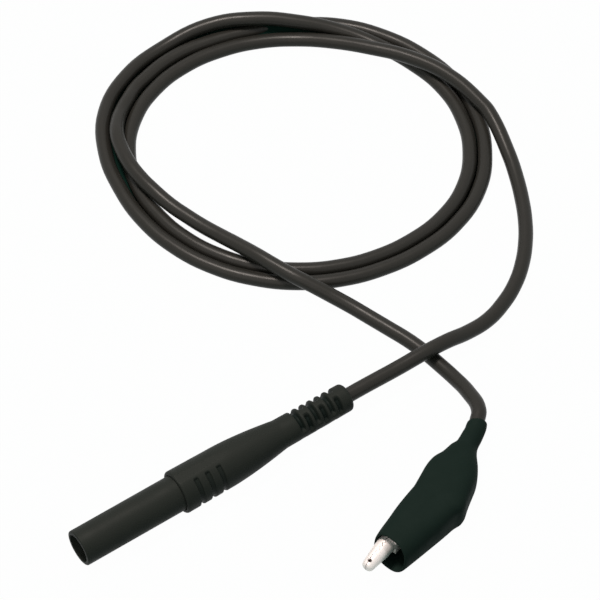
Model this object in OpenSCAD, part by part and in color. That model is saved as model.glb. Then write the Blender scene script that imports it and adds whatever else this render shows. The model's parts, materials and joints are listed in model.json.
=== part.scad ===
// Test lead: a shrouded 4 mm banana plug, a loosely coiled cable and a booted crocodile clip.
// The plug lies along X with its mouth at -X, the table is at z = 0, and all sizes are in mm.

/* [Cable] */
// Outer diameter of the cable jacket
cord_d = 3.3; // [3.1:0.1:3.4]
// Diameter of the stranded conductor
core_d = 1.3; // [1:0.1:1.5]
// Clear gap between the jacket and whatever it is moulded or crimped into
cord_clearance = 0.05; // [0.04:0.01:0.1]

/* [Coil] */
// Half length of the innermost turn
coil_half_length = 38.6; // [36:0.2:42]
// Half width of the innermost turn
coil_half_width = 32.9; // [31:0.1:36]
// Clear gap between neighbouring turns
turn_gap = 0.15; // [0.15:0.05:0.3]
// Direction of the coil's long axis, in degrees from X
coil_heading = -34.7; // [-40:0.1:-30]

/* [Plug sheath] */
// Outer diameter of the sheath
sheath_d = 8; // [7.6:0.1:8.4]
// Wall of the sheath round the contact
sheath_wall = 0.85; // [0.6:0.05:1]
// Length of sheath that stands out of the grip
sheath_length = 24; // [23:0.5:28]
// Depth of the sheath's hollow
sheath_depth = 21; // [20:0.5:22]
// Diameter of the sheath's tail inside the grip
tail_d = 6.8; // [6.4:0.1:7]
// Length of the sheath's tail inside the grip
tail_length = 7.5; // [6:0.5:8]
// Depth of the two retaining grooves round the tail
tail_groove = 0.4; // [0.2:0.05:0.5]

/* [Contact pin] */
// Diameter of the solid parts of the contact pin
pin_d = 3.9; // [3.7:0.05:4]
// How far the pin's tip lies inside the sheath's mouth
pin_recess = 1.5; // [1:0.1:2.5]
// Length of the pin's rounded nose
nose_length = 2.8; // [2:0.1:3.5]
// Diameter of the groove that holds the spring cage
groove_d = 2.6; // [2.2:0.1:2.8]
// Length of the groove that holds the spring cage
groove_length = 12; // [10:0.5:13]
// Thickness of the flange that stops the pin against the sheath
flange_length = 1.5; // [1:0.1:2]
// Diameter of the pin's shank and crimp barrel
shank_d = 3.4; // [3:0.1:3.6]
// Length of the shank and crimp barrel behind the flange
shank_length = 13; // [12:0.5:14]
// Length of the hollow crimp barrel at the shank's end
barrel_depth = 6; // [4:0.5:7]

/* [Spring cage] */
// Sheet thickness of the spring cage
cage_sheet = 0.15; // [0.1:0.01:0.2]
// Diameter over the middle of the bowed leaves
cage_mid_d = 4.15; // [4:0.05:4.4]
// Diameter over the cage's end rings
cage_end_d = 3.1; // [3.05:0.05:3.3]
// Number of leaves
leaves = 8; // [6:1:10]
// Width of the slot between two leaves
leaf_slot = 0.5; // [0.3:0.05:0.6]
// Length of each end ring
cage_ring = 1; // [0.6:0.1:1.5]

/* [Grip] */
// Diameter of the grip at its shoulder
grip_d = 9.75; // [9.4:0.05:10.2]
// Length of the grip from its shoulder to the strain relief
grip_length = 26; // [25:0.5:30]
// Length of the straight part of the grip
grip_straight = 11.3; // [10:0.1:13]
// Rounding of the grip's shoulder
shoulder_round = 0.5; // [0.2:0.1:0.7]
// Height of the flat strips on the grip's top and underside, from the axis
flat_height = 4.7; // [4.55:0.05:4.8]
// Number of finger grooves on each side
finger_grooves = 3; // [2:1:3]
// Distance between finger grooves
finger_pitch = 2.8; // [2.4:0.1:3]
// Width of a finger groove
finger_width = 1.3; // [0.8:0.1:1.5]
// Depth of a finger groove
finger_depth = 0.5; // [0.2:0.05:0.6]
// How far round each side a finger groove runs, in degrees
finger_span = 128; // [100:2:136]

/* [Strain relief] */
// Length of the strain relief
relief_length = 17.3; // [17:0.1:20]
// Diameter of the strain relief at the grip
relief_d = 6.6; // [6.4:0.1:7]
// Diameter of the strain relief at its end
relief_end_d = 6.3; // [6:0.1:6.6]
// Number of slotted stations
relief_stations = 6; // [4:1:6]
// Distance between slotted stations
relief_pitch = 1.9; // [1.8:0.05:2.1]
// Width of a slot
relief_slot = 1; // [0.7:0.05:1.1]
// Wall that stays between a slot and the cable
relief_core = 0.7; // [0.5:0.05:0.9]
// How far round a slot runs, in degrees
relief_span = 128; // [110:2:140]
// Rounding of the strain relief's end
relief_round = 0.8; // [0.4:0.1:1]

/* [Crocodile clip] */
// Sheet thickness of both jaws
sheet = 0.4; // [0.3:0.05:0.45]
// Distance from the pivot to the tip of the jaws
jaw_reach = 12.8; // [12.5:0.1:14]
// Outer radius of the closed jaws
jaw_r = 1.95; // [1.9:0.05:2.1]
// Distance between teeth
tooth_pitch = 1.1; // [1:0.1:1.3]
// Height of a tooth above the middle line
tooth_height = 0.22; // [0.15:0.01:0.25]
// Clear gap between the two jaws' teeth
tooth_gap = 0.16; // [0.14:0.01:0.2]
// Clear gap between the ears of the two jaws
ear_gap = 0.1; // [0.08:0.01:0.15]
// Turn of the closed jaws from the tail's line, in degrees
nose_turn = -5; // [-5:0.5:0]
// Half width of the fixed jaw's channel
channel_half = 2; // [1.9:0.05:2.1]
// Radius of the ears round the pivot
ear_r = 1.5; // [1.4:0.05:1.55]
// Diameter of the pivot rivet
rivet_d = 1.4; // [1.2:0.05:1.5]
// Radial clearance of the rivet in the moving jaw
rivet_clearance = 0.05; // [0.02:0.01:0.08]
// Length of each crimp at the fixed jaw's tail
crimp_length = 2.5; // [2:0.1:2.6]
// Wire diameter of the torsion spring
spring_wire = 0.45; // [0.35:0.05:0.5]
// Whole turns of the torsion spring
spring_turns = 3; // [2:1:3]

/* [Boot] */
// Wall of the boot
boot_wall = 0.6; // [0.5:0.05:0.65]
// Height of the boot's middle above the table
boot_height = 4.6; // [4.6:0.05:4.8]

/* [Layout] */
// Plug mouth along X
plug_x = -43.8; // [-46:0.1:-42]
// Plug axis along Y
plug_y = 18.2; // [17.7:0.1:18.7]
// Clip pivot along X
clip_x = 14; // [13.5:0.05:14.5]
// Clip pivot along Y
clip_y = -15.1; // [-15.6:0.05:-14.6]
// Height of the clip's middle plane
clip_z = 4.75; // [4.6:0.05:4.9]
// Direction of the clip's nose, in degrees from X
clip_heading = 204; // [203:0.5:205]

/* [Hidden] */
$fn = 48;
eps = 0.01;

black_pvc = [0.16, 0.16, 0.15];
black_boot = [0.11, 0.14, 0.13];
nickel = [0.82, 0.81, 0.8];
copper = [0.72, 0.45, 0.3];

cord_r = cord_d / 2;
core_r = core_d / 2;
turn_pitch = cord_d + turn_gap;

// Plug stations, measured from the mouth towards the cable
sheath_r = sheath_d / 2;
bore_r = sheath_r - sheath_wall;
fit_gap = 0.05;
groove_start = pin_recess + nose_length;
flange_start = sheath_depth - flange_length;
shank_end = sheath_depth + shank_length;
tail_end = sheath_length + tail_length;
relief_start = sheath_length + grip_length;
plug_length = relief_start + relief_length;
jacket_start = shank_end + 0.5;
station_start = plug_length - 2.5 - relief_stations * relief_pitch;

// Clip stations, measured from the pivot towards the jaws' tip
moving_half = channel_half + ear_gap + sheet;
lever_half = moving_half - 0.4;
head_length = 0.35;
web_front = 5;
web_back = 1.5;
// Bend points of the moving jaw's lever, as x and y on the clip
lever_points = [
  [-0.9, 2.5], [-2.2, 3.9], [-4.7, 7.45], [-6.4, 8.05], [-8.4, 8.55], [-10.6, 8.35], [-13.2, 7.8]
];
jacket_y = 0.5;
crimp_x = -18.6;
core_crimp_x = -14;
clip_core_end = -10.5;
clip_jacket_end = -16;

// Waypoints of the cable between the insulation crimp and the boot's neck: x, y, z on the clip
neck_points = [
  [crimp_x, jacket_y, clip_z], [-20.2, 0.75, clip_z], [-21.5, 1.2, 4.7], [-22.6, 1.65, 4.7],
  [-24, 1.75, 4.65], [-26.1, 1.55, 4.6], [-28.6, 1.1, 4.6], [-30.6, 0.3, 4.6]
];

// Boot sections: x, low y, high y, half height, lean with y, squareness (1 is an ellipse) and lean with z
boot_sections = [
  [-30.6, -1.55, 2.25, 2.05, -0.49, 1, 0], [-28.6, -0.95, 3.15, 2.1, -0.35, 1, 0],
  [-26.1, -0.95, 3.7, 2.3, 0, 1, 0], [-23.4, -0.95, 4.4, 2.6, 0, 0.9, 0],
  [-21.5, -1.5, 5.65, 3.2, 0, 0.8, 0], [-19.4, -2.25, 6.95, 3.8, 0, 0.7, 0],
  [-17, -2.7, 8, 4.2, 0, 0.6, 0], [-14, -2.75, 8.7, 4.5, 0, 0.5, 0],
  [-10.4, -2.75, 9.5, 4.6, 0, 0.5, 0], [-8.6, -2.75, 9.75, 4.6, 0, 0.5, 0],
  [-7.2, -2.75, 9.35, 4.6, 0, 0.5, 0], [-4.5, -2.75, 8.65, 4.6, 0, 0.55, 0],
  [-1, -2.85, 7.6, 4.6, 0.03, 0.65, -0.04], [3.5, -2.95, 6.4, 4.5, 0.1, 0.75, -0.12],
  [7.2, -3.1, 5.25, 4.35, 0.18, 0.85, -0.2]
];
boot_sides = 24;

// Lay of the coil: angle, lane outward from the innermost turn, and lift off the table in turns
coil_centre = [54.4, 81.1];
coil_lay = [
  [15, 1.492, 0.97], [19, 1.285, 1.03], [30, 0.74, 1.08], [45, 0.136, 0.985], [60, -0.24, 0.775],
  [75, -0.17, 0.467], [90, 0.11, 0.119], [105, 0.266, 0], [120, 0.275, 0], [135, 0.25, 0],
  [150, 0.15, 0], [165, -0.005, 0], [180, -0.193, 0], [195, -0.313, 0], [210, -0.335, 0],
  [225, -0.209, 0], [240, -0.055, 0], [255, 0.064, 0], [270, 0.1, 0], [285, 0.1, 0],
  [300, 0.062, 0], [315, 0.014, 0], [330, 0.03, 0], [345, 0.026, 0], [360, 0.005, 0],
  [375, 0.116, 0], [390, 0.336, 0], [405, 0.496, 0.013], [420, 0.674, 0.178], [435, 0.855, 0.52],
  [450, 1.008, 0.9], [465, 1.437, 1.055], [480, 2.102, 0.72], [495, 2.476, 0], [510, 2.4, 0],
  [525, 2.055, 0], [540, 1.34, 0], [555, 0.798, 0], [570, 0.7, 0], [585, 0.799, 0],
  [600, 0.949, 0], [615, 1.066, 0], [630, 1.137, 0], [645, 1.134, 0], [660, 1.085, 0],
  [675, 1.05, 0], [690, 1.07, 0], [705, 1.06, 0], [720, 1.006, 0], [735, 1.123, 0],
  [750, 1.342, 0], [765, 1.508, 0], [780, 1.68, 0], [795, 1.745, 0], [810, 1.537, 0],
  [825, 1.318, 0], [840, 1.288, 0], [855, 1.366, 0], [866, 1.306, 0], [870, 1.26, 0.002]
];
coil_step = 15;
coil_sides = 6;

// Route of the free cable from the strain relief to the coil
plug_route = [
  [37.2, 17.9, 4.91], [43.2, 17.7, 5.32], [49.3, 17.7, 4.9], [55.2, 17.9, 3.44], [61.1, 18.7, 2.37],
  [66.8, 20.7, 1.85], [72.1, 23.5, 1.66], [76.9, 27.2, 1.65], [81.1, 31.6, 1.65], [84.7, 36.5, 1.65],
  [87.7, 41.7, 1.7], [90.3, 47.2, 2], [92.4, 52.8, 2.66]
];

// Route of the free cable from the coil to the boot's neck
clip_route = [
  [31.1, 115.2, 2.35], [27.8, 112.8, 2.85], [24.8, 109.7, 3.8], [22.6, 106.3, 4.57],
  [21.2, 102.3, 4.87], [20.2, 97.6, 5.12], [20, 92.7, 5.09], [20.5, 87.9, 4.86],
  [21.5, 83.2, 4.23], [22.9, 78.5, 3.93], [24.4, 73.9, 3.82], [26, 69.3, 4.1],
  [27.5, 64.7, 4.62], [28.9, 60, 5.2], [30.4, 55.4, 5.31], [32.2, 50.9, 5.12], [34.6, 46.8, 4.18],
  [37, 42.7, 3.01], [39.2, 38.4, 2.16], [41, 33.9, 1.73], [42.6, 29.3, 1.65], [44.1, 24.7, 1.65],
  [45.2, 20, 1.65], [45.9, 15.1, 1.71], [46.2, 10.1, 2.24], [45.9, 5.2, 3.32]
];
lead_sides = 8;

function smooth_arc(x, y, r, from, to, n = 5) =
  [for (i = [0:n]) let (a = from + (to - from) * i / n) [x + r * cos(a), y + r * sin(a)]];
function unit(v) = v / norm(v);
function last(v) = v[len(v) - 1];
function reversed(v) = [for (i = [len(v) - 1:-1:0]) v[i]];
function fan(n) = [for (j = [1:n - 2]) [0, j, j + 1]];

// Direction of a path at one of its points
function heading_at(p, i) = unit(p[min(i + 1, len(p) - 1)] - p[max(i - 1, 0)]);

// Points and faces of a round tube along a path, with rings that stay upright
function tube_points(p, r, sides) = [
  for (i = [0:len(p) - 1])
    let (t = heading_at(p, i), side = unit(cross(t, [0, 0, 1])), up = cross(side, t))
      for (j = [0:sides - 1])
        let (a = 360 * j / sides) p[i] + r * (cos(a) * side + sin(a) * up)
];
function band_faces(rings, sides) = [
  for (i = [0:rings - 2], j = [0:sides - 1])
    let (a = i * sides + j, b = i * sides + (j + 1) % sides)
      each [[a, b, a + sides], [b, b + sides, a + sides]]
];
function cap_faces(rings, sides) = concat(
  [for (f = fan(sides)) reversed(f)],
  [for (f = fan(sides)) [for (v = f) v + (rings - 1) * sides]]
);
module tube(p, r, sides) {
  polyhedron(
    tube_points(p, r, sides),
    concat(band_faces(len(p), sides), cap_faces(len(p), sides))
  );
}

// Smooth curve through the lay's rows, column k, at angle t
function lay_row(t, i = 0) =
  i >= len(coil_lay) - 2 || t <= coil_lay[i + 1][0] ? i : lay_row(t, i + 1);
function lay_slope(i, k) =
  let (a = max(i - 1, 0), b = min(i + 1, len(coil_lay) - 1))
    (coil_lay[b][k] - coil_lay[a][k]) / (coil_lay[b][0] - coil_lay[a][0]);
function lay_value(t, k) =
  let (
    i = lay_row(t),
    h = coil_lay[i + 1][0] - coil_lay[i][0],
    u = (t - coil_lay[i][0]) / h
  )
    (2 * u ^ 3 - 3 * u ^ 2 + 1) * coil_lay[i][k]
    + (u ^ 3 - 2 * u ^ 2 + u) * h * lay_slope(i, k)
    + (3 * u ^ 2 - 2 * u ^ 3) * coil_lay[i + 1][k]
    + (u ^ 3 - u ^ 2) * h * lay_slope(i + 1, k);
function coil_point(t) =
  let (
    r = 1 / sqrt((cos(t) / coil_half_length) ^ 2 + (sin(t) / coil_half_width) ^ 2)
        + turn_pitch * lay_value(t, 1),
    a = t + coil_heading
  )
    [coil_centre.x + r * cos(a), coil_centre.y + r * sin(a), cord_r + turn_pitch * lay_value(t, 2)];

coil_from = coil_lay[0][0];
coil_to = last(coil_lay)[0];
coil_turns = [for (t = [coil_from:coil_step:coil_to]) coil_point(t)];
coil_entry = unit(coil_turns[0] - coil_point(coil_from + 1));
coil_exit = unit(last(coil_turns) - coil_point(coil_to - 1));
coil_run = cord_d / 3;
coil_path = concat(
  [coil_turns[0] + coil_entry * coil_run], coil_turns, [last(coil_turns) + coil_exit * coil_run]
);

// Where the cable leaves the plug and enters the boot, with straight ends one diameter long there
relief_exit = [plug_x + plug_length, plug_y, flat_height];
function on_clip(p) =
  [
    clip_x + p.x * cos(clip_heading) - p.y * sin(clip_heading),
    clip_y + p.x * sin(clip_heading) + p.y * cos(clip_heading),
    p.z
  ];
neck_exit = on_clip(last(neck_points));
neck_way = unit(neck_exit - on_clip(neck_points[len(neck_points) - 2]));
plug_path = concat(
  [relief_exit, relief_exit + [cord_d, 0, 0]],
  plug_route,
  [coil_path[0] + coil_entry * coil_run, coil_path[0]]
);
clip_path = concat(
  [last(coil_path), last(coil_path) + coil_exit * coil_run],
  clip_route,
  [neck_exit + neck_way * cord_d, neck_exit]
);

// The coil's least clear gap to itself, and the whole cable's length, both printed
fine_turns = [for (t = [coil_from:5:coil_to]) coil_point(t)];
self_gap = min([
  for (i = [0:len(fine_turns) - 1], j = [i + 8:1:len(fine_turns) - 1])
    norm(fine_turns[i] - fine_turns[j]) - cord_d
]);
function path_length(p, i = 0) = i >= len(p) - 1 ? 0 : norm(p[i + 1] - p[i]) + path_length(p, i + 1);
echo(coil_least_gap = self_gap);
echo(cable_length = path_length(plug_path) + path_length(coil_path) + path_length(clip_path));

// Frames: along the plug, with local z from the mouth to the cable, and on the clip
module on_plug() {
  translate([plug_x, plug_y, flat_height]) rotate([0, 90, 0]) children();
}
module at_clip() {
  translate([clip_x, clip_y, clip_z]) rotate([0, 0, clip_heading]) children();
}

// A groove part of the way round an axis, centred on an angle
module part_ring(start, width, inner, outer, centre, span) {
  translate([0, 0, start])
    rotate([0, 0, centre - span / 2])
      rotate_extrude(angle = span) translate([inner, 0]) square([outer - inner, width]);
}

module contact_pin() {
  r = pin_d / 2;
  tip_r = 1;
  color(nickel)
    on_plug() difference() {
      rotate_extrude() polygon(concat(
        [[0, pin_recess]],
        smooth_arc(r - tip_r, pin_recess + tip_r, tip_r, -90, 0),
        [
          [r, groove_start], [groove_d / 2, groove_start],
          [groove_d / 2, groove_start + groove_length], [r, groove_start + groove_length],
          [r, flange_start], [bore_r - fit_gap, flange_start], [bore_r - fit_gap, sheath_depth],
          [shank_d / 2, sheath_depth], [shank_d / 2, shank_end], [0, shank_end]
        ]
      ));
      translate([0, 0, shank_end - barrel_depth])
        cylinder(h = barrel_depth + 1, r = core_r + fit_gap);
    }
}

module spring_cage() {
  end_gap = 0.2;
  length = groove_length - 2 * end_gap;
  bow = 10;
  bow_length = length - 2 * cage_ring;
  rise = (cage_mid_d - cage_end_d) / 2;
  outer = concat(
    [[cage_end_d / 2, 0]],
    [for (i = [0:bow]) [cage_end_d / 2 + rise * sin(180 * i / bow), cage_ring + bow_length * i / bow]],
    [[cage_end_d / 2, length]]
  );
  inner = [for (p = reversed(outer)) [p.x - cage_sheet, p.y]];
  color(nickel)
    on_plug() translate([0, 0, groove_start + end_gap]) difference() {
      rotate_extrude() polygon(concat(outer, inner));
      for (i = [0:leaves - 1])
        rotate([0, 0, 360 * i / leaves])
          translate([0.5, -leaf_slot / 2, cage_ring]) cube([cage_mid_d, leaf_slot, bow_length]);
    }
}

module sheath() {
  lip = sheath_wall * 0.4;
  color(black_pvc)
    on_plug() difference() {
      union() {
        rotate_extrude() polygon(concat(
          [[0, 0], [sheath_r - lip, 0]],
          smooth_arc(sheath_r - lip, lip, lip, -90, 0),
          [[sheath_r, sheath_length], [0, sheath_length]]
        ));
        translate([0, 0, sheath_length - eps]) cylinder(h = tail_length + eps, d = tail_d);
      }
      translate([0, 0, -1]) cylinder(h = sheath_depth + 1, r = bore_r);
      cylinder(h = tail_end + 1, d = shank_d + 2 * fit_gap);
      for (i = [0, 1])
        part_ring(tail_groove_at(i), tail_groove_width, tail_d / 2 - tail_groove, tail_d, 0, 360);
    }
}
tail_groove_width = 1.4;
function tail_groove_at(i) = sheath_length + tail_length * (1 + 3 * i) / 6;

// Outline of the grip and strain relief, as radius and distance from the mouth
function grip_outline() =
  let (
    r0 = grip_d / 2,
    r1 = r0 - 0.12,
    r2 = relief_d / 2,
    r3 = relief_end_d / 2,
    x1 = sheath_length + grip_straight,
    steps = 10
  )
    concat(
      smooth_arc(r0 - shoulder_round, sheath_length + shoulder_round, shoulder_round, -90, 0),
      [
        for (i = [0:steps])
          let (u = i / steps) [r1 - (r1 - r2) * u ^ 1.6, x1 + (relief_start - x1) * u]
      ],
      smooth_arc(r3 - relief_round, plug_length - relief_round, relief_round, 0, 90)
    );

module grip() {
  top = 180;
  color(black_pvc)
    on_plug() difference() {
      rotate_extrude() polygon(concat(
        [[0, sheath_length]], grip_outline(), [[0, plug_length]]
      ));
      // seats of the sheath's tail, the crimp barrel and the cable
      difference() {
        translate([0, 0, sheath_length - 1]) cylinder(h = tail_length + 1 + fit_gap, d = tail_d + 2 * fit_gap);
        for (i = [0, 1])
          part_ring(
            tail_groove_at(i) + fit_gap, tail_groove_width - 2 * fit_gap,
            tail_d / 2 - tail_groove + fit_gap, tail_d, 0, 360
          );
      }
      cylinder(h = jacket_start, d = shank_d + 2 * fit_gap);
      cylinder(h = plug_length + 1, r = cord_r + cord_clearance);
      // bare flat strips on the top and underside
      for (side = [-1, 1])
        translate([side > 0 ? flat_height : -flat_height - 5, -10, sheath_length - 1])
          cube([5, 20, grip_length]);
      // finger grooves on both sides
      for (side = [90, 270], i = [0:finger_grooves - 1])
        part_ring(
          sheath_length + 3.2 + i * finger_pitch, finger_width,
          grip_d / 2 - finger_depth, grip_d, side, finger_span
        );
      // strain relief slots, in pairs that turn a quarter from one station to the next
      for (i = [0:relief_stations - 1], side = [0, 180])
        part_ring(
          station_start + i * relief_pitch, relief_slot,
          cord_r + relief_core, grip_d, top + side + 90 * (i % 2), relief_span
        );
    }
}

module plug_conductor() {
  start = shank_end - barrel_depth + 0.3;
  color(copper) on_plug() translate([0, 0, start]) cylinder(h = plug_length - start, r = core_r);
}

module plug_jacket() {
  color(black_pvc)
    on_plug() translate([0, 0, jacket_start]) difference() {
      cylinder(h = plug_length - jacket_start, r = cord_r);
      translate([0, 0, -1]) cylinder(h = plug_length, r = core_r + fit_gap);
    }
}

module plug_lead() {
  color(black_pvc) tube(plug_path, cord_r, lead_sides);
}

module cable_coil() {
  color(black_pvc) tube(coil_path, cord_r, coil_sides);
}

module clip_lead() {
  color(black_pvc) tube(clip_path, cord_r, lead_sides);
}

module clip_jacket() {
  start = [clip_jacket_end, jacket_y, clip_z];
  path = [for (p = concat([start], neck_points)) on_clip(p)];
  color(black_pvc) difference() {
    tube(path, cord_r, 16);
    at_clip() translate([clip_jacket_end - 2, jacket_y, 0]) rotate([0, 90, 0])
      cylinder(h = 3, r = core_r + fit_gap);
  }
}

module clip_conductor() {
  length = clip_core_end - clip_jacket_end + 1.8;
  color(copper)
    at_clip() translate([clip_core_end, jacket_y, 0]) rotate([0, -90, 0]) cylinder(h = length, r = core_r);
}

// Revolved shell of a closed nose, from the channel to the tip
module nose_shell(channel_r) {
  tip_r = 0.9;
  outer = concat(
    [[channel_r, 2], [jaw_r, 5.5], [jaw_r - 0.12, jaw_reach - 5], [jaw_r - 0.4, jaw_reach - 2.6]],
    smooth_arc(jaw_r - 0.6 - tip_r, jaw_reach - tip_r, tip_r, 15, 90)
  );
  inner = [
    [0, jaw_reach - 1.2 * sheet], [jaw_r - 1.4, jaw_reach - 1.2 * sheet],
    [jaw_r - 0.68 - sheet, jaw_reach - 1.2], [jaw_r - 0.4 - sheet, jaw_reach - 2.6],
    [jaw_r - 0.12 - sheet, jaw_reach - 5], [jaw_r - sheet, 5.5], [channel_r - sheet, 2]
  ];
  rotate([0, 90, 0]) rotate_extrude() polygon(concat(outer, [[0, jaw_reach]], inner));
}

// The side of the toothed parting line that a jaw fills: -1 is the fixed jaw's, 1 the moving one's
module jaw_side(side) {
  first = 4.6;
  count = floor((jaw_reach - 2.2 - first) / tooth_pitch * 2);
  edge = side * tooth_gap / 2;
  line = concat(
    [[0, edge]],
    [for (i = [0:count]) [first + i * tooth_pitch / 2, edge + (i % 2 == 0 ? -1 : 1) * tooth_height]],
    [[jaw_reach + 1, edge]]
  );
  translate([0, 0, -5]) linear_extrude(10) polygon(concat(
    line, [[jaw_reach + 1, side * 5], [0, side * 5]]
  ));
}

module jaw_nose(channel_r, side) {
  rotate([0, 0, nose_turn]) intersection() {
    difference() {
      nose_shell(channel_r);
      translate([jaw_reach - 1.3, 0, -5]) cylinder(h = 10, r = 0.45);
    }
    jaw_side(side);
  }
}

// Two side plates, cut from one outline
module side_plates(half) {
  for (z = [-half, half - sheet]) translate([0, 0, z]) linear_extrude(sheet) children();
}

// Crimped ring, open towards the moving jaw
module crimp(x, r) {
  translate([x, jacket_y, 0]) rotate([0, 90, 0])
    part_ring(0, crimp_length, r, r + sheet - eps, 270, 290);
}

// Half of a sheet channel's section, from the middle of its floor to the top of its side
function channel_half_section(half, floor_y, top_y, round_r) =
  concat([[0, floor_y]], smooth_arc(half - round_r, floor_y + round_r, round_r, -90, 0, 4), [[half, top_y]]);
module channel(from, to, half, floor_y, top_y, round_r) {
  outer = channel_half_section(half, floor_y, top_y, round_r);
  inner = channel_half_section(half - sheet, floor_y + sheet, top_y, max(round_r - sheet, 0.2));
  section = concat(reversed([for (p = outer) [-p.x, p.y]]), outer, reversed(inner), [for (p = inner) [-p.x, p.y]]);
  translate([from, 0, 0]) rotate([90, 0, 90]) linear_extrude(to - from) polygon([for (p = section) [p.y, p.x]]);
}

module fixed_jaw() {
  floor_y = jacket_y - cord_r - cord_clearance;
  outer_y = floor_y - sheet;
  color(nickel)
    at_clip() difference() {
      union() {
        jaw_nose(channel_half, -1);
        channel(-5, 4, channel_half, -jaw_r, -0.7, 1);
        side_plates(channel_half) {
          circle(ear_r);
          polygon([[-4.6, -1.1], [5, -1.1], turned([5, -tooth_gap]), [0, 0], [-2.5, -0.5]]);
        }
        // tail with a crimp for the conductor and one for the jacket
        translate([crimp_x, outer_y, -1]) cube([-crimp_x - 4, sheet, 2]);
        translate([core_crimp_x, floor_y - eps, -0.45])
          cube([crimp_length, jacket_y - core_r - floor_y - 0.1, 0.9]);
        crimp(crimp_x, cord_r + cord_clearance);
        crimp(core_crimp_x, core_r + fit_gap);
      }
      translate([0, 0, -5]) cylinder(h = 10, d = rivet_d + 2 * rivet_clearance);
    }
}

// A point of the clip's outline, turned with the closed jaws
function turned(p) =
  [p.x * cos(nose_turn) - p.y * sin(nose_turn), p.x * sin(nose_turn) + p.y * cos(nose_turn)];

// Outline of a bent sheet strip along a line of points
function strip(p, t) =
  let (side = [for (i = [0:len(p) - 1]) let (d = heading_at(p, i)) [-d.y, d.x] * t / 2])
    concat([for (i = [0:len(p) - 1]) p[i] + side[i]], [for (i = [len(p) - 1:-1:0]) p[i] - side[i]]);

module moving_jaw() {
  web_y = jaw_r - sheet / 2;
  web = [turned([web_front, web_y]), [web_back, web_y], lever_points[0], lever_points[1]];
  color(nickel)
    at_clip() difference() {
      union() {
        jaw_nose(moving_half, 1);
        translate([0, 0, -moving_half]) linear_extrude(2 * moving_half) polygon(strip(web, sheet));
        translate([0, 0, -lever_half]) linear_extrude(2 * lever_half) polygon(strip(lever_points, sheet));
        side_plates(moving_half) {
          circle(ear_r);
          polygon(concat([turned([web_front, tooth_gap])], web, [[-3.6, 5.9], [-1.5, 0.3]]));
        }
      }
      translate([0, 0, -5]) cylinder(h = 10, d = rivet_d + 2 * rivet_clearance);
    }
}

module pivot_rivet() {
  color(nickel)
    at_clip() union() {
      translate([0, 0, -moving_half - ear_gap]) cylinder(h = 2 * (moving_half + ear_gap), d = rivet_d);
      for (side = [-1, 1])
        translate([0, 0, side > 0 ? moving_half + ear_gap / 2 : -moving_half - ear_gap / 2 - head_length])
          cylinder(h = head_length, d = rivet_d + 0.7);
    }
}

module torsion_spring() {
  coil_r = 1.22;
  pitch = spring_wire + 0.2;
  wind = 360 * spring_turns + 150;
  steps = ceil(wind / 45);
  low = -pitch * wind / 720;
  turns = [
    for (i = [0:steps])
      let (a = 270 + wind * i / steps) [coil_r * cos(a), coil_r * sin(a), low + pitch * wind / 360 * i / steps]
  ];
  first_leg = [turns[0].x - 3.8, turns[0].y, turns[0].z];
  last_leg = [[-2, 2.55, -low], [-4.2, 5.9, -low]];
  color(nickel) at_clip() tube(concat([first_leg], turns, last_leg), spring_wire / 2, 6);
}

// One ring of the boot's wall, drawn in by a thickness
function boot_ring(s, inset) =
  let (
    middle = (s[1] + s[2]) / 2,
    half = (s[2] - s[1]) / 2 - inset,
    high = s[3] - inset,
    power = s[5]
  )
    [
      for (j = [0:boot_sides - 1])
        let (
          c = cos(360 * j / boot_sides),
          n = sin(360 * j / boot_sides),
          y = half * sign(c) * abs(c) ^ power,
          z = high * sign(n) * abs(n) ^ power
        )
          on_clip([s[0] + s[4] * y + s[6] * z, middle + y, boot_height + z])
    ];
module boot_solid(sections, walls) {
  rings = [for (i = [0:len(sections) - 1]) each boot_ring(sections[i], walls[i])];
  polyhedron(rings, [
    for (f = concat(band_faces(len(sections), boot_sides), cap_faces(len(sections), boot_sides)))
      reversed(f)
  ]);
}
module boot() {
  neck_wall = boot_sections[0][3] - cord_r - cord_clearance;
  walls = [
    for (i = [0:len(boot_sections) - 1])
      min(boot_wall, neck_wall + (boot_wall - neck_wall) * max(0, i - 1) / 3)
  ];
  overrun = [0.5, 0, 0, 0, 0, 0, 0];
  hollow = concat([boot_sections[0] - overrun], boot_sections, [last(boot_sections) + overrun]);
  color(black_boot) difference() {
    boot_solid(boot_sections, [for (s = boot_sections) 0]);
    boot_solid(hollow, concat([walls[0]], walls, [last(walls)]));
  }
}

contact_pin();
spring_cage();
sheath();
grip();
plug_conductor();
plug_jacket();
plug_lead();
cable_coil();
clip_lead();
clip_jacket();
clip_conductor();
fixed_jaw();
moving_jaw();
pivot_rivet();
torsion_spring();
boot();
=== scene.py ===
import json
import math

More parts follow.
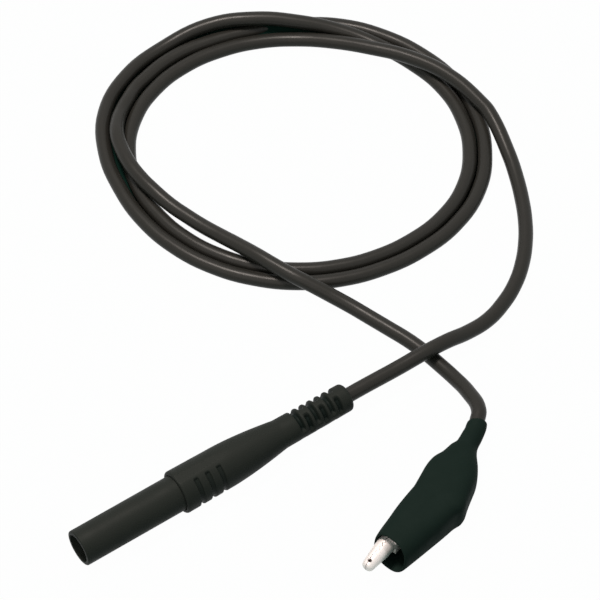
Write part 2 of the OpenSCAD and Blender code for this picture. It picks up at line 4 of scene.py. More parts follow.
import bmesh
import bpy
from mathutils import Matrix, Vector
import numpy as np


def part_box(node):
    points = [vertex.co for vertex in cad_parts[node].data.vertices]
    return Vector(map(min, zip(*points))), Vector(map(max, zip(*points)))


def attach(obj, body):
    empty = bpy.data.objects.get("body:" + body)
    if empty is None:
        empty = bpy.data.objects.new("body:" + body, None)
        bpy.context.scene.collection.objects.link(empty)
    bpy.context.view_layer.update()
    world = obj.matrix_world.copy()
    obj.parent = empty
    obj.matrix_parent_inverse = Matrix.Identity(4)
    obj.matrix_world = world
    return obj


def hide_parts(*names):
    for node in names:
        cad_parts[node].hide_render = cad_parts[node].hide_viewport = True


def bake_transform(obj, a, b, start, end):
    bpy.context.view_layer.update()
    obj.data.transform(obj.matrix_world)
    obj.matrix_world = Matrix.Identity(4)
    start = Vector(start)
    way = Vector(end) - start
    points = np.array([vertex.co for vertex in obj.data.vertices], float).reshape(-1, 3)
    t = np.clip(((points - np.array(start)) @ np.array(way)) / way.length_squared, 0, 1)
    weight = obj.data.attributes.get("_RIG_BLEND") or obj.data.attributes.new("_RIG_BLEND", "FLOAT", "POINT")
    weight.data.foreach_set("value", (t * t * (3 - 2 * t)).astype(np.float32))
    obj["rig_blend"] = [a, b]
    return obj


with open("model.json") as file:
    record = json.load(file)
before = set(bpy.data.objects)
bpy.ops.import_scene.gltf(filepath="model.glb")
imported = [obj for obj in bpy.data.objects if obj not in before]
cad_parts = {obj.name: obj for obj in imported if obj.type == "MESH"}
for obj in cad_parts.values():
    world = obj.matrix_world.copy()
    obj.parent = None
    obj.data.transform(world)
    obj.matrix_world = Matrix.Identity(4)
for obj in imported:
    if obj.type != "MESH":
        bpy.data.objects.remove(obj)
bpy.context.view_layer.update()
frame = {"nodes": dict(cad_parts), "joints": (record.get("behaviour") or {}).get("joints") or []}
mm = 0.001  # Blender works in metres, and the sizes below are in mm


def addObject(name, data):
    thing = bpy.data.objects.new(name, data)
    bpy.context.scene.collection.objects.link(thing)
    return thing


def meshFrom(name, bm):
    mesh = bpy.data.meshes.new(name)
    bm.to_mesh(mesh)
    bm.free()
    return mesh


# spot and aim in mm, field of view in degrees, clip in metres
cameraSet = {
    "spot": (-224.0, -321.9, 596.6),
    "aim": (31.9, 47.7, 0.0),
    "fieldOfView": 10.0,
    "clip": (0.01, 10.0),
}


def aimAt(thing, spot, aim):
    thing.location = Vector(spot) * mm
    thing.rotation_euler = (Vector(aim) - Vector(spot)).to_track_quat("-Z", "Y").to_euler()


def makeCamera():
    lens = bpy.data.cameras.new("camera")
    lens.angle = math.radians(cameraSet["fieldOfView"])
    lens.clip_start, lens.clip_end = cameraSet["clip"]
    camera = addObject("camera", lens)
    aimAt(camera, cameraSet["spot"], cameraSet["aim"])
    bpy.context.scene.camera = camera


makeCamera()
print("camera ready")

# where the plug and the clip lie, in mm: the frame has the plug's mouth and axis and the clip's hinge
gripLow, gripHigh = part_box("grip")
plugAxis = (gripLow + gripHigh) / 2 / mm
plugPlace = {"mouth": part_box("sheath")[0].x / mm, "side": plugAxis.y, "height": plugAxis.z}
clipPlace = {"pivot": [v / mm for v in frame["joints"][0]["pos_m"]], "heading": 204.0}


# from the clip's own x and y, measured from its pivot, to the frame's; z is the height over the table
def onClip(x, y, z):
    turn = math.radians(clipPlace["heading"])
    px, py, _ = clipPlace["pivot"]
    return (px + x * math.cos(turn) - y * math.sin(turn), py + x * math.sin(turn) + y * math.cos(turn), z)


# neckWay is the direction out of the boot's neck
cable = {
    "diameter": 3.3,
    "reliefExit": (23.5, 18.2, 4.7),
    "neckExit": (42.077, -2.928, 4.6),
    "neckWay": (0.697, 0.717, 0.0),
    # how far it runs straight out of the grip and the boot
    "straightEnd": 3.3,
    # how far it runs on straight at both ends of the coil, and the turn in degrees that gives the direction
    "coilRun": 2.2,
    "directionTurn": 1,
    # fineness of the round section and of each stretch between two points
    "sides": 8,
    "steps": 6,
    # x, y, z of the free run from the plug to the coil
    "fromPlug": [
        (37.2, 17.9, 4.91), (43.2, 17.7, 5.32), (49.3, 17.7, 4.9), (55.2, 17.9, 3.44),
        (61.1, 18.7, 2.37), (66.8, 20.7, 1.85), (72.1, 23.5, 1.66), (76.9, 27.2, 1.65),
        (81.1, 31.6, 1.65), (84.7, 36.5, 1.65), (87.7, 41.7, 1.7), (90.3, 47.2, 2),
        (92.4, 52.8, 2.66),
    ],
    # x, y, z of the free run from the coil to the boot
    "toClip": [
        (31.1, 115.2, 2.35), (27.8, 112.8, 2.85), (24.8, 109.7, 3.8), (22.6, 106.3, 4.57),
        (21.2, 102.3, 4.87), (20.2, 97.6, 5.12), (20, 92.7, 5.09), (20.5, 87.9, 4.86),
        (21.5, 83.2, 4.23), (22.9, 78.5, 3.93), (24.4, 73.9, 3.82), (26, 69.3, 4.1),
        (27.5, 64.7, 4.62), (28.9, 60, 5.2), (30.4, 55.4, 5.31), (32.2, 50.9, 5.12),
        (34.6, 46.8, 4.18), (37, 42.7, 3.01), (39.2, 38.4, 2.16), (41, 33.9, 1.73),
        (42.6, 29.3, 1.65), (44.1, 24.7, 1.65), (45.2, 20, 1.65), (45.9, 15.1, 1.71),
        (46.2, 10.1, 2.24), (45.9, 5.2, 3.32),
    ],
    # the oval that the lanes start from: its middle, half length and half width, and heading in degrees
    "coilCentre": (54.4, 81.1),
    "coilHalf": (38.6, 32.9),
    "coilHeading": -34.7,
    # degrees from point to point, and mm from turn to turn
    "coilStep": 15,
    "turnPitch": 3.45,
    # angle in degrees, lane outward from the oval and lift off the table in turns
    "lay": [
        (15, 1.492, 0.97), (19, 1.285, 1.03), (30, 0.74, 1.08), (45, 0.136, 0.985), (60, -0.24, 0.775),
        (75, -0.17, 0.467), (90, 0.11, 0.119), (105, 0.266, 0), (120, 0.275, 0), (135, 0.25, 0),
        (150, 0.15, 0), (165, -0.005, 0), (180, -0.193, 0), (195, -0.313, 0), (210, -0.335, 0),
        (225, -0.209, 0), (240, -0.055, 0), (255, 0.064, 0), (270, 0.1, 0), (285, 0.1, 0),
        (300, 0.062, 0), (315, 0.014, 0), (330, 0.03, 0), (345, 0.026, 0), (360, 0.005, 0),
        (375, 0.116, 0), (390, 0.336, 0), (405, 0.496, 0.013), (420, 0.674, 0.178), (435, 0.855, 0.52),
        (450, 1.008, 0.9), (465, 1.437, 1.055), (480, 2.102, 0.72), (495, 2.476, 0), (510, 2.4, 0),
        (525, 2.055, 0), (540, 1.34, 0), (555, 0.798, 0), (570, 0.7, 0), (585, 0.799, 0),
        (600, 0.949, 0), (615, 1.066, 0), (630, 1.137, 0), (645, 1.134, 0), (660, 1.085, 0),
        (675, 1.05, 0), (690, 1.07, 0), (705, 1.06, 0), (720, 1.006, 0), (735, 1.123, 0),
        (750, 1.342, 0), (765, 1.508, 0), (780, 1.68, 0), (795, 1.745, 0), (810, 1.537, 0),
        (825, 1.318, 0), (840, 1.288, 0), (855, 1.366, 0), (866, 1.306, 0), (870, 1.26, 0.002),
    ],
}


# the lane (column 1) or the lift (column 2) of the lay at an angle, smooth from row to row
def layAt(angle, column):
    keys = cable["lay"]
    row = 0
    while row < len(keys) - 2 and angle > keys[row + 1][0]:
        row += 1

    def slope(at):
        low, high = keys[max(at - 1, 0)], keys[min(at + 1, len(keys) - 1)]
        return (high[column] - low[column]) / (high[0] - low[0])

    span = keys[row + 1][0] - keys[row][0]
    u = (angle - keys[row][0]) / span
    return (
        (2 * u**3 - 3 * u**2 + 1) * keys[row][column] + (u**3 - 2 * u**2 + u) * span * slope(row)
        + (3 * u**2 - 2 * u**3) * keys[row + 1][column] + (u**3 - u**2) * span * slope(row + 1)
    )


# the cable's centre at an angle of the lay
def coilPoint(angle):
    turn = math.radians(angle)
    halfLong, halfWide = cable["coilHalf"]
    reach = 1 / math.sqrt((math.cos(turn) / halfLong) ** 2 + (math.sin(turn) / halfWide) ** 2)
    reach += cable["turnPitch"] * layAt(angle, 1)
    turn += math.radians(cable["coilHeading"])
    cx, cy = cable["coilCentre"]
    lift = cable["diameter"] / 2 + cable["turnPitch"] * layAt(angle, 2)
    return Vector((cx + reach * math.cos(turn), cy + reach * math.sin(turn), lift))


def cableRoute():
    first, last, step = cable["lay"][0][0], cable["lay"][-1][0], cable["coilStep"]
    turns = [coilPoint(a) for a in range(first, last + 1, step)]
    ahead, run = cable["directionTurn"], cable["coilRun"]
    entry = turns[0] + (turns[0] - coilPoint(first + ahead)).normalized() * run
    leave = turns[-1] + (turns[-1] - coilPoint(last - ahead)).normalized() * run
    start, end = Vector(cable["reliefExit"]), Vector(cable["neckExit"])
    out, back = Vector((cable["straightEnd"], 0, 0)), Vector(cable["neckWay"]) * cable["straightEnd"]
    fromPlug = [Vector(point) for point in cable["fromPlug"]]
    toClip = [Vector(point) for point in cable["toClip"]]
    return [start, start + out, *fromPlug, entry, *turns, leave, *toClip, end + back, end]


def curveThrough(name, points, radius, sides, steps):
    curve = bpy.data.curves.new(name, "CURVE")
    curve.dimensions = "3D"
    curve.bevel_depth = radius * mm
    curve.bevel_resolution = sides
    curve.resolution_u = steps
    curve.use_fill_caps = True
    line = curve.splines.new("BEZIER")
    line.bezier_points.add(len(points) - 1)
    for knot, point in zip(line.bezier_points, points):
        knot.co = Vector(point) * mm
        knot.handle_left_type = knot.handle_right_type = "AUTO"
    return addObject(name, curve)


# the guide's mesh, at the bevel that it has now
def curveMesh(guide):
    bpy.context.view_layer.update()
    return bpy.data.meshes.new_from_object(guide.evaluated_get(bpy.context.evaluated_depsgraph_get()))


# turns a guide curve into a piece and its centre line; the flat caps at the ends stay sharp
def wireFrom(guide, name):
    tube = curveMesh(guide)
    guide.data.bevel_depth = 0
    line = curveMesh(guide)
    path = [tuple(vert.co) for vert in line.vertices]
    curve = guide.data
    bpy.data.objects.remove(guide)
    bpy.data.curves.remove(curve)
    bpy.data.meshes.remove(line)
    tube.name = name
    for face in tube.polygons:
        face.use_smooth = len(face.vertices) == 4
    return addObject(name, tube), path


def makeCable():
    guide = curveThrough("cableGuide", cableRoute(), cable["diameter"] / 2, cable["sides"], cable["steps"])
    piece, path = wireFrom(guide, "cable")
    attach(piece, "lead")
    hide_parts("plug_lead", "cable_coil", "clip_lead")
    return piece


cablePiece = makeCable()

# verts closer than this, in metres, are one
mergeGap = 1e-6


def finishMesh(name, bm):
    bmesh.ops.remove_doubles(bm, verts=bm.verts, dist=mergeGap)
    bmesh.ops.recalc_face_normals(bm, faces=bm.faces)
    piece = addObject(name, meshFrom(name, bm))
    for face in piece.data.polygons:
        face.use_smooth = True
    return piece


def softStep(low, high, value):
    u = min(max((value - low) / (high - low), 0), 1)
    return u * u * (3 - 2 * u)


# 1 between low and high, 0 outside, with soft ends
def windowAt(value, low, high, soft):
    return softStep(low - soft, low + soft, value) * (1 - softStep(high - soft, high + soft, value))


# spin a closed profile of (distance, radius) points round the plug's axis
def spinOnPlug(profile, steps):
    bm = bmesh.new()
    centre = Vector((0, plugPlace["side"], plugPlace["height"])) * mm
    verts = [bm.verts.new(centre + Vector((plugPlace["mouth"] + s, 0, r)) * mm) for s, r in profile]
    edges = [bm.edges.new(pair) for pair in zip(verts, verts[1:] + verts[:1])]
    bmesh.ops.spin(
        bm, geom=verts + edges, cent=centre, axis=(1, 0, 0), dvec=(0, 0, 0),
        angle=math.tau, steps=steps, use_merge=True,
    )
    return bm, centre


# the grip with its strain relief; places along it are measured from the plug's mouth
grip = {
    "start": 24.0,
    "straightEnd": 35.3,
    "reliefStart": 50.0,
    "end": 67.3,
    "radius": 4.875,
    "straightRadius": 4.755,
    "reliefRadius": 3.3,
    "endRadius": 3.15,
    "taperPower": 1.6,
    "shoulderRound": 0.55,
    "endRound": 0.85,
    # height of the flats at top and bottom over the axis
    "flat": 4.7,
    # radius and depth of the seat on the sheath
    "seat": 4.02,
    "seatDepth": 3.0,
    "cableHole": 1.8,
    "grooves": [27.85, 30.65, 33.45],
    "grooveWidth": 1.0,
    "grooveDepth": 0.5,
    # from and to round the axis, in degrees: 0 is up, 90 towards -Y
    "groovesRun": [(23, 157), (202, 298)],
    "slots": [54.4, 56.3, 58.2, 60.1, 62.0, 63.9],
    "slotWidth": 1.0,
    # radius of the core that the slots leave
    "slotCore": 2.35,
    # how softly a cut starts: across it in mm, and at its ends in degrees
    "grooveSoft": (0.15, 3),
    "slotSoft": (0.3, 11),
    "longSlots": [(-88, 68), (122, 238)],
    "shortSlots": [(14, 84), (130, 205), (238, 335)],
    "segments": 180,
    "roundSteps": 6,
    # steps along the outside: fine a margin round the grooves and from a margin before the slots on
    "fineStep": 0.12,
    "plainStep": 0.4,
    "grooveMargin": 1.2,
    "slotMargin": 1.0,
    # no step starts nearer than this to the rounding at the end
    "lastGap": 0.1,
}


def gripRadius(s):
    g = grip
    if s <= g["straightEnd"]:
        u = (s - g["start"]) / (g["straightEnd"] - g["start"])
        return g["radius"] + (g["straightRadius"] - g["radius"]) * u
    if s <= g["reliefStart"]:
        u = (s - g["straightEnd"]) / (g["reliefStart"] - g["straightEnd"])
        return g["straightRadius"] - (g["straightRadius"] - g["reliefRadius"]) * u ** g["taperPower"]
    u = (s - g["reliefStart"]) / (g["end"] - g["reliefStart"])
    return g["reliefRadius"] - (g["reliefRadius"] - g["endRadius"]) * u


# the section from the seat on the sheath, over the outside, to the cable's hole
def gripProfile():
    g = grip
    quarter = [math.pi / 2 * count / g["roundSteps"] for count in range(g["roundSteps"] + 1)]
    points = [(g["start"] + g["seatDepth"], g["seat"]), (g["start"], g["seat"])]
    r, corner = g["shoulderRound"], gripRadius(g["start"]) - g["shoulderRound"]
    points += [(g["start"] + r - r * math.cos(a), corner + r * math.sin(a)) for a in quarter]
    s = g["start"] + r
    while s < g["end"] - g["endRound"] - g["lastGap"]:
        atGrooves = g["grooves"][0] - g["grooveMargin"] < s < g["grooves"][-1] + g["grooveMargin"]
        s += g["fineStep"] if atGrooves or s > g["slots"][0] - g["slotMargin"] else g["plainStep"]
        points.append((s, gripRadius(s)))
    r, corner = g["endRound"], g["endRadius"] - g["endRound"]
    points += [(g["end"] - r + r * math.sin(a), corner + r * math.cos(a)) for a in quarter[1:]]
    return points + [(g["end"], g["cableHole"]), (g["reliefStart"], g["cableHole"])]


# 1 inside any of the runs round the axis, 0 outside, with soft ends
def runAt(around, runs, soft):
    best = 0
    for low, high in runs:
        middle, half = (low + high) / 2, (high - low) / 2
        off = abs((around - middle + 180) % 360 - 180)
        best = max(best, 1 - softStep(half - soft, half + soft, off))
    return best


# each vert keeps how deep it was cut, as a share of the deepest slot, for the painted shade in the cuts
def carveGrip(bm, centre):
    g = grip
    depth = bm.verts.layers.float.new("cut")
    deepest = g["reliefRadius"] - g["slotCore"]
    (grooveSoft, grooveEndSoft), (slotSoft, slotEndSoft) = g["grooveSoft"], g["slotSoft"]
    for vert in bm.verts:
        off = vert.co - centre
        s = off.x / mm - plugPlace["mouth"]
        radius = math.hypot(off.y, off.z) / mm
        around = math.degrees(math.atan2(-off.y, off.z))  # 0 is up, 90 towards -Y
        cut = 0
        for at in g["grooves"]:
            band = windowAt(s, at - g["grooveWidth"] / 2, at + g["grooveWidth"] / 2, grooveSoft)
            cut = max(cut, g["grooveDepth"] * band * runAt(around, g["groovesRun"], grooveEndSoft))
        for count, at in enumerate(g["slots"]):
            band = windowAt(s, at - g["slotWidth"] / 2, at + g["slotWidth"] / 2, slotSoft)
            runs = g["shortSlots"] if count % 2 else g["longSlots"]
            cut = max(cut, max(gripRadius(s) - g["slotCore"], 0) * band * runAt(around, runs, slotEndSoft))
        scale = (radius - cut) / radius
        vert[depth] = min(cut / deepest, 1)
        vert.co.y = centre.y + off.y * scale
        vert.co.z = centre.z + off.z * scale
        lift = (vert.co.z - centre.z) / mm
        if abs(lift) > g["flat"]:  # the flats at top and bottom
            vert.co.z = centre.z + math.copysign(g["flat"], lift) * mm


def makeGrip():
    bm, centre = spinOnPlug(gripProfile(), grip["segments"])
    carveGrip(bm, centre)
    piece = finishMesh("gripMoulding", bm)
    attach(piece, "lead")
    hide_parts("grip")
    print("grip moulded,", len(piece.data.polygons), "faces")
    return piece


gripPiece = makeGrip()


# the piece lies still up to the first y of the clip, and moves with the jaw from the second on
def bendAcrossHinge(piece, bend, height):
    start, end = (tuple(v * mm for v in onClip(0, y, height)) for y in bend)
    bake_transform(piece, "lead", "jaw", start=start, end=end)


boot = {
    "wall": 0.6,
    "segments": 40,
    "smooth": 2,
    # height of the boot's middle over the table
    "middle": 4.6,
    # the clip's y where the boot begins and ends to move with the lever
    "bend": (4.5, 9.5),
    # the clip's x, low y, high y, half height, lean with y, squareness, lean with z
    "sections": [
        (-30.6, -1.44, 2.34, 2.05, -0.49, 1, 0), (-30.1, -1.35, 2.57, 2.17, -0.46, 1, 0),
        (-29.5, -1.26, 2.85, 2.16, -0.41, 1, 0), (-28.6, -1.05, 3.1, 2.1, -0.35, 1, 0),
        (-27.6, -1.03, 3.33, 2.18, -0.21, 1, 0), (-26.6, -1.01, 3.53, 2.26, -0.07, 1, 0),
        (-25.6, -0.91, 3.62, 2.36, 0, 0.98, 0), (-24.8, -0.86, 3.79, 2.44, 0, 0.95, 0),
        (-24, -0.8, 4.1, 2.53, 0, 0.92, 0), (-23.2, -1.07, 4.53, 2.66, 0, 0.89, 0),
        (-22.6, -1.34, 4.91, 2.85, 0, 0.86, 0), (-22, -1.49, 5.33, 3.04, 0, 0.83, 0),
        (-21.4, -1.55, 5.74, 3.23, 0, 0.8, 0), (-20.7, -1.64, 6.22, 3.43, 0, 0.76, 0),
        (-20, -1.74, 6.61, 3.63, 0, 0.73, 0), (-19.2, -1.86, 7.05, 3.83, 0, 0.69, 0),
        (-18.3, -2.22, 7.48, 3.98, 0, 0.65, 0), (-17.4, -2.59, 7.85, 4.13, 0, 0.62, 0),
        (-16.4, -2.76, 8.16, 4.26, 0, 0.58, 0), (-15.2, -2.82, 8.36, 4.38, 0, 0.54, 0),
        (-13.6, -2.75, 8.6, 4.51, 0, 0.5, 0), (-12, -2.57, 8.93, 4.56, 0, 0.5, 0),
        (-10.6, -2.44, 9.29, 4.59, 0, 0.5, 0), (-9.6, -2.36, 9.59, 4.6, 0, 0.5, 0),
        (-8.7, -2.28, 9.6, 4.6, 0, 0.5, 0), (-8.2, -2.26, 9.56, 4.6, 0, 0.5, 0),
        (-7.6, -2.32, 9.29, 4.6, 0, 0.5, 0), (-6.9, -2.39, 8.96, 4.6, 0, 0.51, 0),
        (-6, -2.49, 8.71, 4.6, 0, 0.52, 0), (-4.8, -2.6, 8.47, 4.6, 0, 0.54, 0),
        (-3, -2.78, 8.09, 4.6, 0.01, 0.59, -0.02), (-0.8, -2.9, 7.52, 4.6, 0.03, 0.65, -0.04),
        (1.6, -2.9, 6.87, 4.54, 0.07, 0.71, -0.09), (4, -3.05, 6.21, 4.48, 0.11, 0.76, -0.13),
        (6, -3.05, 5.66, 4.4, 0.15, 0.82, -0.17), (7.2, -3.05, 5.3, 4.35, 0.18, 0.85, -0.2),
    ],
}


# a ring is extruded from section to section, and each vert keeps its turn round the boot in a layer
def makeBoot():
    bm = bmesh.new()
    turnKept = bm.verts.layers.float.new("turn")
    ring = bmesh.ops.create_circle(bm, segments=boot["segments"], radius=1)["verts"]
    edges = list(bm.edges)
    for vert in ring:
        vert[turnKept] = math.atan2(vert.co.y, vert.co.x)
    for count, (x, low, high, tall, lean, square, tilt) in enumerate(boot["sections"]):
        if count:
            grown = bmesh.ops.extrude_edge_only(bm, edges=edges)["geom"]
            ring = [part for part in grown if isinstance(part, bmesh.types.BMVert)]
            edges = [part for part in grown if isinstance(part, bmesh.types.BMEdge)]
            edges = [edge for edge in edges if set(edge.verts).issubset(ring)]
        for vert in ring:
            c, s = math.cos(vert[turnKept]), math.sin(vert[turnKept])
            y = (high - low) / 2 * math.copysign(abs(c) ** square, c)
            z = tall * math.copysign(abs(s) ** square, s)
            along, across = x + lean * y + tilt * z, (high + low) / 2 + y
            vert.co = Vector(onClip(along, across, boot["middle"] + z)) * mm
    bm.verts.layers.float.remove(turnKept)
    piece = finishMesh("bootSleeve", bm)
    wall = piece.modifiers.new("wall", "SOLIDIFY")
    wall.thickness, wall.offset = boot["wall"] * mm, -1  # the wall grows inwards
    wall.use_rim = True
    soft = piece.modifiers.new("soft", "SUBSURF")
    soft.levels = soft.render_levels = boot["smooth"]
    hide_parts("boot")
    bendAcrossHinge(piece, boot["bend"], boot["middle"])
    print("boot drawn on")
    return piece


bootPiece = makeBoot()

# the torsion spring's long leg follows the moving jaw's lever, so it bends across the hinge
spring = {
    "wire": 0.45,
    "coilRadius": 1.22,
    "pitch": 0.65,
    # start and whole turn of the winding, in degrees, and its steps
    "startAngle": 270,
    "wind": 1230,
    "knots": 28,
    "shortLeg": 3.8,
    # x, y of the long leg
    "longLeg": [(-2.0, 2.55), (-4.2, 5.9)],
    "sides": 2,
    "steps": 4,
    # the clip's y where the leg begins and ends to turn with the lever
    "bend": (1.5, 2.5),
}


def makeSpring():
    reach, half = spring["coilRadius"], spring["pitch"] * spring["wind"] / 360 / 2
    turns = []
    for count in range(spring["knots"] + 1):
        share = count / spring["knots"]
        turn = math.radians(spring["startAngle"] + spring["wind"] * share)
        turns.append((reach * math.cos(turn), reach * math.sin(turn), half * (2 * share - 1)))
    start = (turns[0][0] - spring["shortLeg"], turns[0][1], -half)
    run = [start, *turns, *[(x, y, half) for x, y in spring["longLeg"]]]
    middle = clipPlace["pivot"][2]
    points = [onClip(x, y, middle + z) for x, y, z in run]
    guide = curveThrough("springGuide", points, spring["wire"] / 2, spring["sides"], spring["steps"])
    knots = guide.data.splines[0].bezier_points
    for knot in (knots[0], knots[-2], knots[-1]):  # straight legs, with a sharp bend in the long one
        knot.handle_left_type = knot.handle_right_type = "VECTOR"
    piece, _ = wireFrom(guide, "springWire")
    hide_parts("torsion_spring")
    bendAcrossHinge(piece, spring["bend"], middle)
    print("spring wound,", len(piece.data.polygons), "faces")
    return piece


springPiece = makeSpring()

# what all finishes share: a noise scale per metre, noise detail, and how far in metres the bump reaches
grainSet = {
    "broadScale": 350.0,
    "broadDetail": 4,
    "fineDetail": 2,
    # the part of the broad noise over which the roughness goes from low to high
    "roughFrom": (0.35, 0.65),
    "bumpReach": 0.00005,
}


# broad noise mixes the colours and the roughness, fine noise gives the height
def grainGroup():
    group = bpy.data.node_groups.new("mouldedGrain", "ShaderNodeTree")
    for side, kind, names in (
        ("INPUT", "NodeSocketFloat", ("Fine Scale", "Broad Scale", "Rough Low", "Rough High", "Tint")),
        ("INPUT", "NodeSocketColor", ("Base", "Shade")),
        ("OUTPUT", "NodeSocketColor", ("Color",)),
        ("OUTPUT", "NodeSocketFloat", ("Roughness", "Height")),
    ):
        for name in names:
            group.interface.new_socket(name=name, in_out=side, socket_type=kind)
    nodes, links = group.nodes, group.links
    take, give = nodes.new("NodeGroupInput"), nodes.new("NodeGroupOutput")
    spot = nodes.new("ShaderNodeTexCoord")
    fine, broad = nodes.new("ShaderNodeTexNoise"), nodes.new("ShaderNodeTexNoise")
    for noise, size, detail in ((fine, "Fine Scale", "fineDetail"), (broad, "Broad Scale", "broadDetail")):
        links.new(spot.outputs["Object"], noise.inputs["Vector"])
        links.new(take.outputs[size], noise.inputs["Scale"])
        noise.inputs["Detail"].default_value = grainSet[detail]
    rough = nodes.new("ShaderNodeMapRange")
    links.new(broad.outputs["Fac"], rough.inputs["Value"])
    rough.inputs["From Min"].default_value, rough.inputs["From Max"].default_value = grainSet["roughFrom"]
    links.new(take.outputs["Rough Low"], rough.inputs["To Min"])
    links.new(take.outputs["Rough High"], rough.inputs["To Max"])
    tint = nodes.new("ShaderNodeMath")
    tint.operation = "MULTIPLY"
    links.new(broad.outputs["Fac"], tint.inputs[0])
    links.new(take.outputs["Tint"], tint.inputs[1])
    mix = nodes.new("ShaderNodeMix")
    mix.data_type = "RGBA"
    links.new(tint.outputs[0], mix.inputs["Factor"])
    links.new(take.outputs["Base"], mix.inputs["A"])
    links.new(take.outputs["Shade"], mix.inputs["B"])
    links.new(mix.outputs["Result"], give.inputs["Color"])
    links.new(rough.outputs["Result"], give.inputs["Roughness"])
    links.new(fine.outputs["Fac"], give.inputs["Height"])
    return group


grain = grainGroup()

# base and shade are mixed by the tint's share; bump is a strength, fine a noise scale per metre
finishes = {
    "plugPlastic": {
        "base": (0.0165, 0.0185, 0.0163), "shade": (0.0112, 0.0136, 0.012), "rough": (0.46, 0.56),
        # plugPlastic's last colour is painted shade, darkest deep in the grip's cuts
        "specular": 0.07, "bump": 0.05, "fine": 6000, "tint": 0.5, "paintedCutShade": (0.0035, 0.007, 0.006),
    },
    "cableJacket": {
        "base": (0.0212, 0.0196, 0.0176), "shade": (0.0135, 0.0145, 0.0128), "rough": (0.3, 0.38),
        "specular": 0.16, "bump": 0.015, "fine": 2500, "tint": 0.4,
    },
    "bootVinyl": {
        "base": (0.0082, 0.0152, 0.0128), "shade": (0.0066, 0.0126, 0.0105), "rough": (0.6, 0.7),
        "specular": 0.03, "bump": 0.075, "fine": 5000, "tint": 0.5,
    },
    "jawNickel": {
        "base": (0.88, 0.81, 0.8), "shade": (0.74, 0.66, 0.65), "rough": (0.36, 0.48),
        "specular": 0.5, "bump": 0.05, "fine": 3000, "tint": 0.4, "metal": 0.4,
    },
    "contactNickel": {
        "base": (0.8, 0.78, 0.74), "shade": (0.62, 0.6, 0.56), "rough": (0.2, 0.3),
        "specular": 0.5, "bump": 0.05, "fine": 4000, "tint": 0.4, "metal": 1,
    },
    "copperStrand": {
        "base": (0.72, 0.4, 0.26), "shade": (0.5, 0.25, 0.15), "rough": (0.25, 0.4),
        "specular": 0.5, "bump": 1.0, "fine": 2500, "tint": 0.6, "metal": 1,
    },
}


def makeMaterial(name, look):
    material = bpy.data.materials.new(name)
    material.use_nodes = True
    nodes, links = material.node_tree.nodes, material.node_tree.links
    shader = nodes["Principled BSDF"]
    grainNode = nodes.new("ShaderNodeGroup")
    grainNode.node_tree = grain
    grainNode.inputs["Base"].default_value = (*look["base"], 1)
    grainNode.inputs["Shade"].default_value = (*look["shade"], 1)
    grainNode.inputs["Rough Low"].default_value = look["rough"][0]
    grainNode.inputs["Rough High"].default_value = look["rough"][1]
    grainNode.inputs["Fine Scale"].default_value = look["fine"]
    grainNode.inputs["Broad Scale"].default_value = grainSet["broadScale"]
    grainNode.inputs["Tint"].default_value = look["tint"]
    colour = grainNode.outputs["Color"]
    if "paintedCutShade" in look:  # painted shade, darker deep in the grip's cuts
        cut, mix = nodes.new("ShaderNodeAttribute"), nodes.new("ShaderNodeMix")
        cut.attribute_name = "cut"
        mix.data_type = "RGBA"
        links.new(cut.outputs["Fac"], mix.inputs["Factor"])
        links.new(colour, mix.inputs["A"])
        mix.inputs["B"].default_value = (*look["paintedCutShade"], 1)
        colour = mix.outputs["Result"]
    links.new(colour, shader.inputs["Base Color"])
    links.new(grainNode.outputs["Roughness"], shader.inputs["Roughness"])
    bump = nodes.new("ShaderNodeBump")
    bump.inputs["Strength"].default_value = look["bump"]
    bump.inputs["Distance"].default_value = grainSet["bumpReach"]
    links.new(grainNode.outputs["Height"], bump.inputs["Height"])
    links.new(bump.outputs["Normal"], shader.inputs["Normal"])
    shader.inputs["Metallic"].default_value = look.get("metal", 0)
    shader.inputs["Specular IOR Level"].default_value = look["specular"]
    return material


materials = {name: makeMaterial(name, look) for name, look in finishes.items()}

for piece, finish in (
    (cablePiece, "cableJacket"),
    (gripPiece, "plugPlastic"),
    (bootPiece, "bootVinyl"),
    (springPiece, "jawNickel"),
):
    piece.data.materials.append(materials[finish])

nodeLooks = {
    "sheath": "plugPlastic", "plug_jacket": "cableJacket", "clip_jacket": "cableJacket",
    "contact_pin": "contactNickel", "spring_cage": "contactNickel",
    "plug_conductor": "copperStrand", "clip_conductor": "copperStrand",
    "fixed_jaw": "jawNickel", "moving_jaw": "jawNickel", "pivot_rivet": "jawNickel",
}
for nodeName, finish in nodeLooks.items():
    for slot in frame["nodes"][nodeName].material_slots:
        slot.material = materials[finish]
print("materials on")

white = (1.0, 1.0, 1.0, 1.0)
stageSet = {
    # the floor: half side in metres, the colour that it throws back, and its share of plain white
    "floorHalf": 3.0,
    "floorColour": (0.2, 0.34, 0.3),
    "floorGlow": 0.985,
    # strength and tint of the world's light on the object
    "worldGrey": 0.28,
    "worldTint": (0.74, 1.0, 0.92),
    # painted deep shade between neighbouring turns, drawn as a dark strip: from, to and step on the lay in
    # degrees, lift in mm
    "shadeRun": (75, 510),
    "shadeStep": 5,
    "shadeLift": 0.05,
    "shadeColour": (0.006, 0.02, 0.016),
    "shadeRough": 0.9,
    "lampColour": (1.0, 0.9, 0.83),
    "lamps": [
        # spot and aim in mm, size in mm, watts
        ("key", (-45, 195, 740), (30, 50, 0), 160, 6.0),
        ("fill", (-420, -160, 480), (20, 30, 0), 500, 0.8),
    ],
}


# 1 where a ray comes from the camera, from a mirror or through glass
def cameraOrMirror(nodes, links):
    rays = nodes.new("ShaderNodeLightPath")
    seen = rays.outputs["Is Camera Ray"]
    for kind in ("Is Glossy Ray", "Is Transmission Ray"):
        either = nodes.new("ShaderNodeMath")
        either.operation = "MAXIMUM"
        links.new(seen, either.inputs[0])
        links.new(rays.outputs[kind], either.inputs[1])
        seen = either.outputs[0]
    return seen


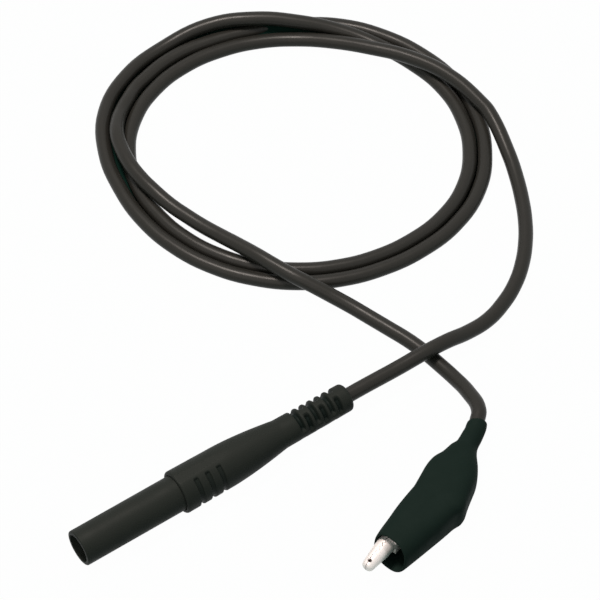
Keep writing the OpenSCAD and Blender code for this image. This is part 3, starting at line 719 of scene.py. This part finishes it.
# a mesh that is no part of the model, and its material's nodes and links
def stagePiece(name, finish, bm):
    thing = addObject(name, meshFrom(name, bm))
    material = bpy.data.materials.new(finish)
    material.use_nodes = True
    thing.data.materials.append(material)
    return material.node_tree.nodes, material.node_tree.links


def makeFloor():
    bm = bmesh.new()
    bmesh.ops.create_grid(bm, x_segments=1, y_segments=1, size=stageSet["floorHalf"])
    nodes, links = stagePiece("floor", "floorWhite", bm)
    nodes.clear()
    out, mix = nodes.new("ShaderNodeOutputMaterial"), nodes.new("ShaderNodeMixShader")
    plain, glow = nodes.new("ShaderNodeBsdfDiffuse"), nodes.new("ShaderNodeEmission")
    plain.inputs["Color"].default_value = (*stageSet["floorColour"], 1)
    glow.inputs["Color"].default_value = white
    share = nodes.new("ShaderNodeMath")
    share.operation = "MULTIPLY"
    share.inputs[1].default_value = stageSet["floorGlow"]
    links.new(cameraOrMirror(nodes, links), share.inputs[0])
    links.new(share.outputs[0], mix.inputs["Fac"])
    links.new(plain.outputs[0], mix.inputs[1])
    links.new(glow.outputs[0], mix.inputs[2])
    links.new(mix.outputs[0], out.inputs["Surface"])


# a dark strip of painted shade from the underside of each turn to the one after it, so both its edges stay
# in the cable
def makeTurnShade():
    start, stop = stageSet["shadeRun"]
    bm = bmesh.new()
    sides = []
    for ahead in (0, 360):
        spots = [coilPoint(a + ahead) for a in range(start, stop + 1, stageSet["shadeStep"])]
        lifts = [max(p.z - cable["diameter"] / 2, 0) + stageSet["shadeLift"] for p in spots]
        verts = [bm.verts.new(Vector((p.x, p.y, lift)) * mm) for p, lift in zip(spots, lifts)]
        sides += [bm.edges.new(pair) for pair in zip(verts, verts[1:])]
    bmesh.ops.bridge_loops(bm, edges=sides)
    nodes, _ = stagePiece("turnShade", "turnShade", bm)
    shader = nodes["Principled BSDF"]
    shader.inputs["Base Color"].default_value = (*stageSet["shadeColour"], 1)
    shader.inputs["Roughness"].default_value = stageSet["shadeRough"]
    shader.inputs["Specular IOR Level"].default_value = 0


# plain white for the eye and for mirrors, and a softer tinted light on the object
def makeWorld():
    world = bpy.data.worlds.new("studio")
    bpy.context.scene.world = world
    world.use_nodes = True
    nodes, links = world.node_tree.nodes, world.node_tree.links
    back = nodes["Background"]
    seen = cameraOrMirror(nodes, links)
    tint = nodes.new("ShaderNodeMix")
    tint.data_type = "RGBA"
    tint.inputs["A"].default_value = (*stageSet["worldTint"], 1)
    tint.inputs["B"].default_value = white
    links.new(seen, tint.inputs["Factor"])
    links.new(tint.outputs["Result"], back.inputs["Color"])
    level = nodes.new("ShaderNodeMapRange")
    level.inputs["To Min"].default_value = stageSet["worldGrey"]
    level.inputs["To Max"].default_value = 1
    links.new(seen, level.inputs["Value"])
    links.new(level.outputs["Result"], back.inputs["Strength"])


def makeLamps():
    for name, spot, aim, size, watts in stageSet["lamps"]:
        lamp = bpy.data.lights.new(name, "AREA")
        lamp.shape, lamp.size, lamp.energy = "SQUARE", size * mm, watts
        lamp.color = stageSet["lampColour"]
        aimAt(addObject(name, lamp), spot, aim)


makeFloor()
makeTurnShade()
makeWorld()
makeLamps()
bpy.context.scene.view_settings.view_transform = "Standard"
print("studio lit")
